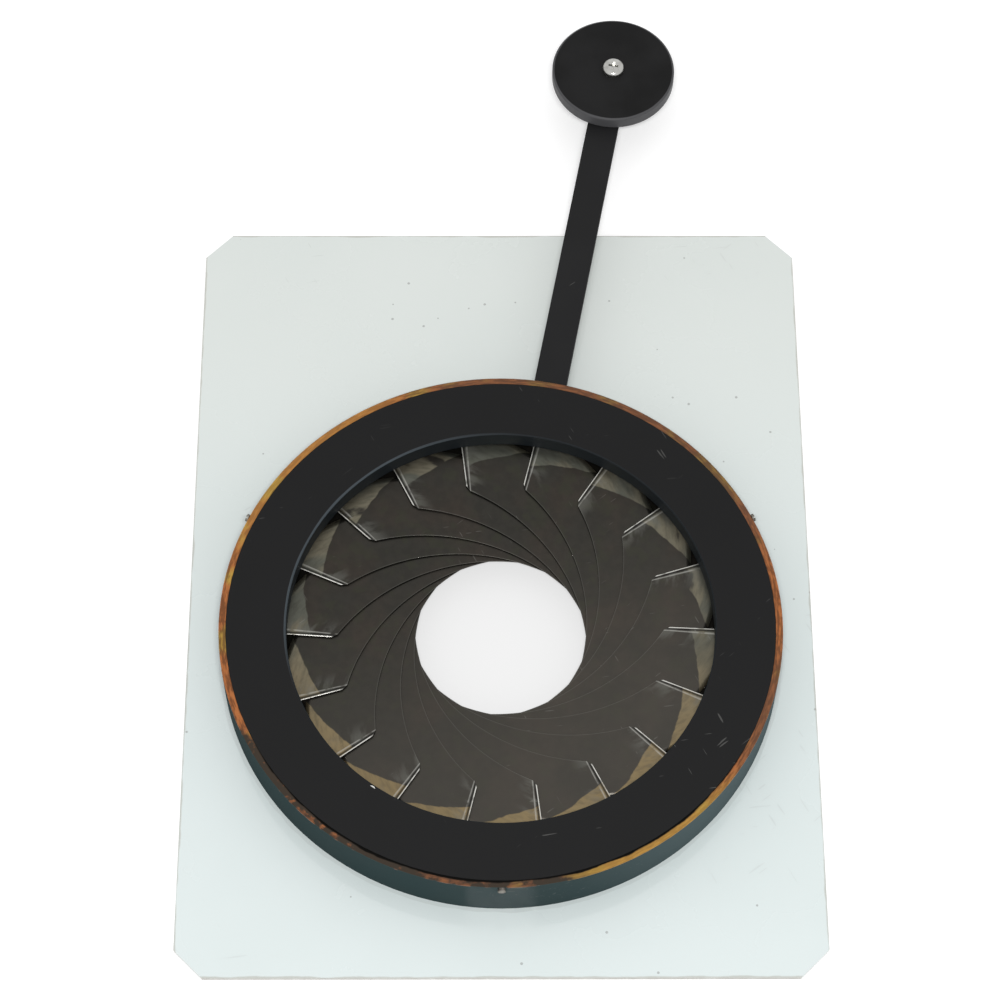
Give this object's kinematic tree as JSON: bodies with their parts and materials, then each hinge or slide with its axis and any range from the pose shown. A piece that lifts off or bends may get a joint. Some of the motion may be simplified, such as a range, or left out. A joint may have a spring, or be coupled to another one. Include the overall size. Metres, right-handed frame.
{
  "type": "iris diaphragm",
  "caption": "Large iris diaphragm of overlapping steel leaves in a round housing on a flat mounting plate, worked by a long flat lever with a disc knob.",
  "frame": {"origin": "on the optical axis, at the underside of the mounting plate", "axes": "+Z along the optical axis, out through the cover ring; +Y along the plate towards its long end and the lever side; +X to the right seen from the front edge"},
  "size_m": [0.225, 0.386, 0.0269],
  "materials": {
    "plate_paint": "gloss pale grey enamel, lightly scratched",
    "housing_brass": "dark grey paint, worn to bare metal along the rim",
    "cover_paint": "matt black paint",
    "blackened_screw": "blackened",
    "plated_screw": "bright plated",
    "ring_brass": "turned brass",
    "lever_paint": "matt black paint",
    "knob_plastic": "matt black moulding",
    "leaf_steel": "dark oiled steel",
    "pin_steel": "turned steel"
  },
  "bodies": {
    "fixed_frame": {"mounting_plate": "plate_paint", "housing": "housing_brass", "cover_ring": "cover_paint", "cover_screws": "blackened_screw", "base_screws": "plated_screw"},
    "lever_ring": {"drive_ring": "ring_brass", "lever_bar": "lever_paint", "lever_rivets": "ring_brass", "knob_disc": "knob_plastic", "knob_screw": "plated_screw", "knob_washer": "plated_screw", "knob_nut": "plated_screw"},
    "leaf_body_01": {"leaf_01": "leaf_steel", "leaf_pins_01": "pin_steel"},
    "leaf_body_02": {"leaf_02": "leaf_steel", "leaf_pins_02": "pin_steel"},
    "leaf_body_03": {"leaf_03": "leaf_steel", "leaf_pins_03": "pin_steel"},
    "leaf_body_04": {"leaf_04": "leaf_steel", "leaf_pins_04": "pin_steel"},
    "leaf_body_05": {"leaf_05": "leaf_steel", "leaf_pins_05": "pin_steel"},
    "leaf_body_06": {"leaf_06": "leaf_steel", "leaf_pins_06": "pin_steel"},
    "leaf_body_07": {"leaf_07": "leaf_steel", "leaf_pins_07": "pin_steel"},
    "leaf_body_08": {"leaf_08": "leaf_steel", "leaf_pins_08": "pin_steel"},
    "leaf_body_09": {"leaf_09": "leaf_steel", "leaf_pins_09": "pin_steel"},
    "leaf_body_10": {"leaf_10": "leaf_steel", "leaf_pins_10": "pin_steel"},
    "leaf_body_11": {"leaf_11": "leaf_steel", "leaf_pins_11": "pin_steel"},
    "leaf_body_12": {"leaf_12": "leaf_steel", "leaf_pins_12": "pin_steel"},
    "leaf_body_13": {"leaf_13": "leaf_steel", "leaf_pins_13": "pin_steel"},
    "leaf_body_14": {"leaf_14": "leaf_steel", "leaf_pins_14": "pin_steel"},
    "leaf_body_15": {"leaf_15": "leaf_steel", "leaf_pins_15": "pin_steel"},
    "leaf_body_16": {"leaf_16": "leaf_steel", "leaf_pins_16": "pin_steel"},
    "leaf_body_17": {"leaf_17": "leaf_steel", "leaf_pins_17": "pin_steel"},
    "leaf_body_18": {"leaf_18": "leaf_steel", "leaf_pins_18": "pin_steel"}
  },
  "joints": [
    {"name": "lever_turn", "type": "hinge", "parent": "fixed_frame", "child": "lever_ring", "pos_m": [0, 0, 0.0148], "axis": [0, 0, 1], "range_deg": [-55, 14]},
    {"name": "leaf_pivot_01", "type": "hinge", "parent": "fixed_frame", "child": "leaf_body_01", "pos_m": [-0.00427, -0.0869, 0.004], "axis": [0, 0, 1], "range_deg": [-26.85, 6.84]},
    {"name": "leaf_pivot_02", "type": "hinge", "parent": "fixed_frame", "child": "leaf_body_02", "pos_m": [0.02571, -0.08311, 0.004], "axis": [0, 0, 1], "range_deg": [-26.85, 6.84]},
    {"name": "leaf_pivot_03", "type": "hinge", "parent": "fixed_frame", "child": "leaf_body_03", "pos_m": [0.05259, -0.06931, 0.004], "axis": [0, 0, 1], "range_deg": [-26.85, 6.84]},
    {"name": "leaf_pivot_04", "type": "hinge", "parent": "fixed_frame", "child": "leaf_body_04", "pos_m": [0.07312, -0.04714, 0.004], "axis": [0, 0, 1], "range_deg": [-26.85, 6.84]},
    {"name": "leaf_pivot_05", "type": "hinge", "parent": "fixed_frame", "child": "leaf_body_05", "pos_m": [0.08483, -0.01929, 0.004], "axis": [0, 0, 1], "range_deg": [-26.85, 6.84]},
    {"name": "leaf_pivot_06", "type": "hinge", "parent": "fixed_frame", "child": "leaf_body_06", "pos_m": [0.08632, 0.01089, 0.004], "axis": [0, 0, 1], "range_deg": [-26.85, 6.84]},
    {"name": "leaf_pivot_07", "type": "hinge", "parent": "fixed_frame", "child": "leaf_body_07", "pos_m": [0.07739, 0.03975, 0.004], "axis": [0, 0, 1], "range_deg": [-26.85, 6.84]},
    {"name": "leaf_pivot_08", "type": "hinge", "parent": "fixed_frame", "child": "leaf_body_08", "pos_m": [0.05912, 0.06382, 0.004], "axis": [0, 0, 1], "range_deg": [-26.85, 6.84]},
    {"name": "leaf_pivot_09", "type": "hinge", "parent": "fixed_frame", "child": "leaf_body_09", "pos_m": [0.03373, 0.0802, 0.004], "axis": [0, 0, 1], "range_deg": [-26.85, 6.84]},
    {"name": "leaf_pivot_10", "type": "hinge", "parent": "fixed_frame", "child": "leaf_body_10", "pos_m": [0.00427, 0.0869, 0.004], "axis": [0, 0, 1], "range_deg": [-26.85, 6.84]},
    {"name": "leaf_pivot_11", "type": "hinge", "parent": "fixed_frame", "child": "leaf_body_11", "pos_m": [-0.02571, 0.08311, 0.004], "axis": [0, 0, 1], "range_deg": [-26.85, 6.84]},
    {"name": "leaf_pivot_12", "type": "hinge", "parent": "fixed_frame", "child": "leaf_body_12", "pos_m": [-0.05259, 0.06931, 0.004], "axis": [0, 0, 1], "range_deg": [-26.85, 6.84]},
    {"name": "leaf_pivot_13", "type": "hinge", "parent": "fixed_frame", "child": "leaf_body_13", "pos_m": [-0.07312, 0.04714, 0.004], "axis": [0, 0, 1], "range_deg": [-26.85, 6.84]},
    {"name": "leaf_pivot_14", "type": "hinge", "parent": "fixed_frame", "child": "leaf_body_14", "pos_m": [-0.08483, 0.01929, 0.004], "axis": [0, 0, 1], "range_deg": [-26.85, 6.84]},
    {"name": "leaf_pivot_15", "type": "hinge", "parent": "fixed_frame", "child": "leaf_body_15", "pos_m": [-0.08632, -0.01089, 0.004], "axis": [0, 0, 1], "range_deg": [-26.85, 6.84]},
    {"name": "leaf_pivot_16", "type": "hinge", "parent": "fixed_frame", "child": "leaf_body_16", "pos_m": [-0.07739, -0.03975, 0.004], "axis": [0, 0, 1], "range_deg": [-26.85, 6.84]},
    {"name": "leaf_pivot_17", "type": "hinge", "parent": "fixed_frame", "child": "leaf_body_17", "pos_m": [-0.05912, -0.06382, 0.004], "axis": [0, 0, 1], "range_deg": [-26.85, 6.84]},
    {"name": "leaf_pivot_18", "type": "hinge", "parent": "fixed_frame", "child": "leaf_body_18", "pos_m": [-0.03373, -0.0802, 0.004], "axis": [0, 0, 1], "range_deg": [-26.85, 6.84]}
  ],
  "couplings": [
    {"joint": "leaf_pivot_01", "follows": "lever_turn", "ratio": 0.488},
    {"joint": "leaf_pivot_02", "follows": "lever_turn", "ratio": 0.488},
    {"joint": "leaf_pivot_03", "follows": "lever_turn", "ratio": 0.488},
    {"joint": "leaf_pivot_04", "follows": "lever_turn", "ratio": 0.488},
    {"joint": "leaf_pivot_05", "follows": "lever_turn", "ratio": 0.488},
    {"joint": "leaf_pivot_06", "follows": "lever_turn", "ratio": 0.488},
    {"joint": "leaf_pivot_07", "follows": "lever_turn", "ratio": 0.488},
    {"joint": "leaf_pivot_08", "follows": "lever_turn", "ratio": 0.488},
    {"joint": "leaf_pivot_09", "follows": "lever_turn", "ratio": 0.488},
    {"joint": "leaf_pivot_10", "follows": "lever_turn", "ratio": 0.488},
    {"joint": "leaf_pivot_11", "follows": "lever_turn", "ratio": 0.488},
    {"joint": "leaf_pivot_12", "follows": "lever_turn", "ratio": 0.488},
    {"joint": "leaf_pivot_13", "follows": "lever_turn", "ratio": 0.488},
    {"joint": "leaf_pivot_14", "follows": "lever_turn", "ratio": 0.488},
    {"joint": "leaf_pivot_15", "follows": "lever_turn", "ratio": 0.488},
    {"joint": "leaf_pivot_16", "follows": "lever_turn", "ratio": 0.488},
    {"joint": "leaf_pivot_17", "follows": "lever_turn", "ratio": 0.488},
    {"joint": "leaf_pivot_18", "follows": "lever_turn", "ratio": 0.488}
  ]
}
